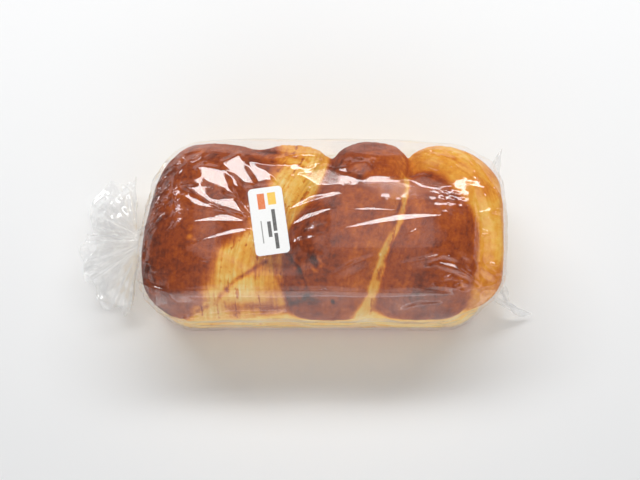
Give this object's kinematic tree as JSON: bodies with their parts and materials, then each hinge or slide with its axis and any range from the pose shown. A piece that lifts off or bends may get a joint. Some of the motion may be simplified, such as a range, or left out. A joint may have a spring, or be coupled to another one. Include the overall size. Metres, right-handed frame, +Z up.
{
  "type": "cinnamon twist bread loaf",
  "caption": "Tin-baked cinnamon twist loaf in a clear bag that is gathered at one end and sealed flat at the other, with a small white sticker on top.",
  "frame": {"origin": "on the resting surface, under the middle of the loaf's base", "axes": "+X along the loaf towards the bag's sealed end, +Y to the back, +Z up"},
  "size_m": [0.3448, 0.1408, 0.1111],
  "materials": {
    "bagged_loaf": "clear crinkled film over an egg-washed crust",
    "label_paper": "smooth white paper"
  },
  "bodies": {
    "root": {"bag": "bagged_loaf", "label": "label_paper"}
  },
  "joints": []
}
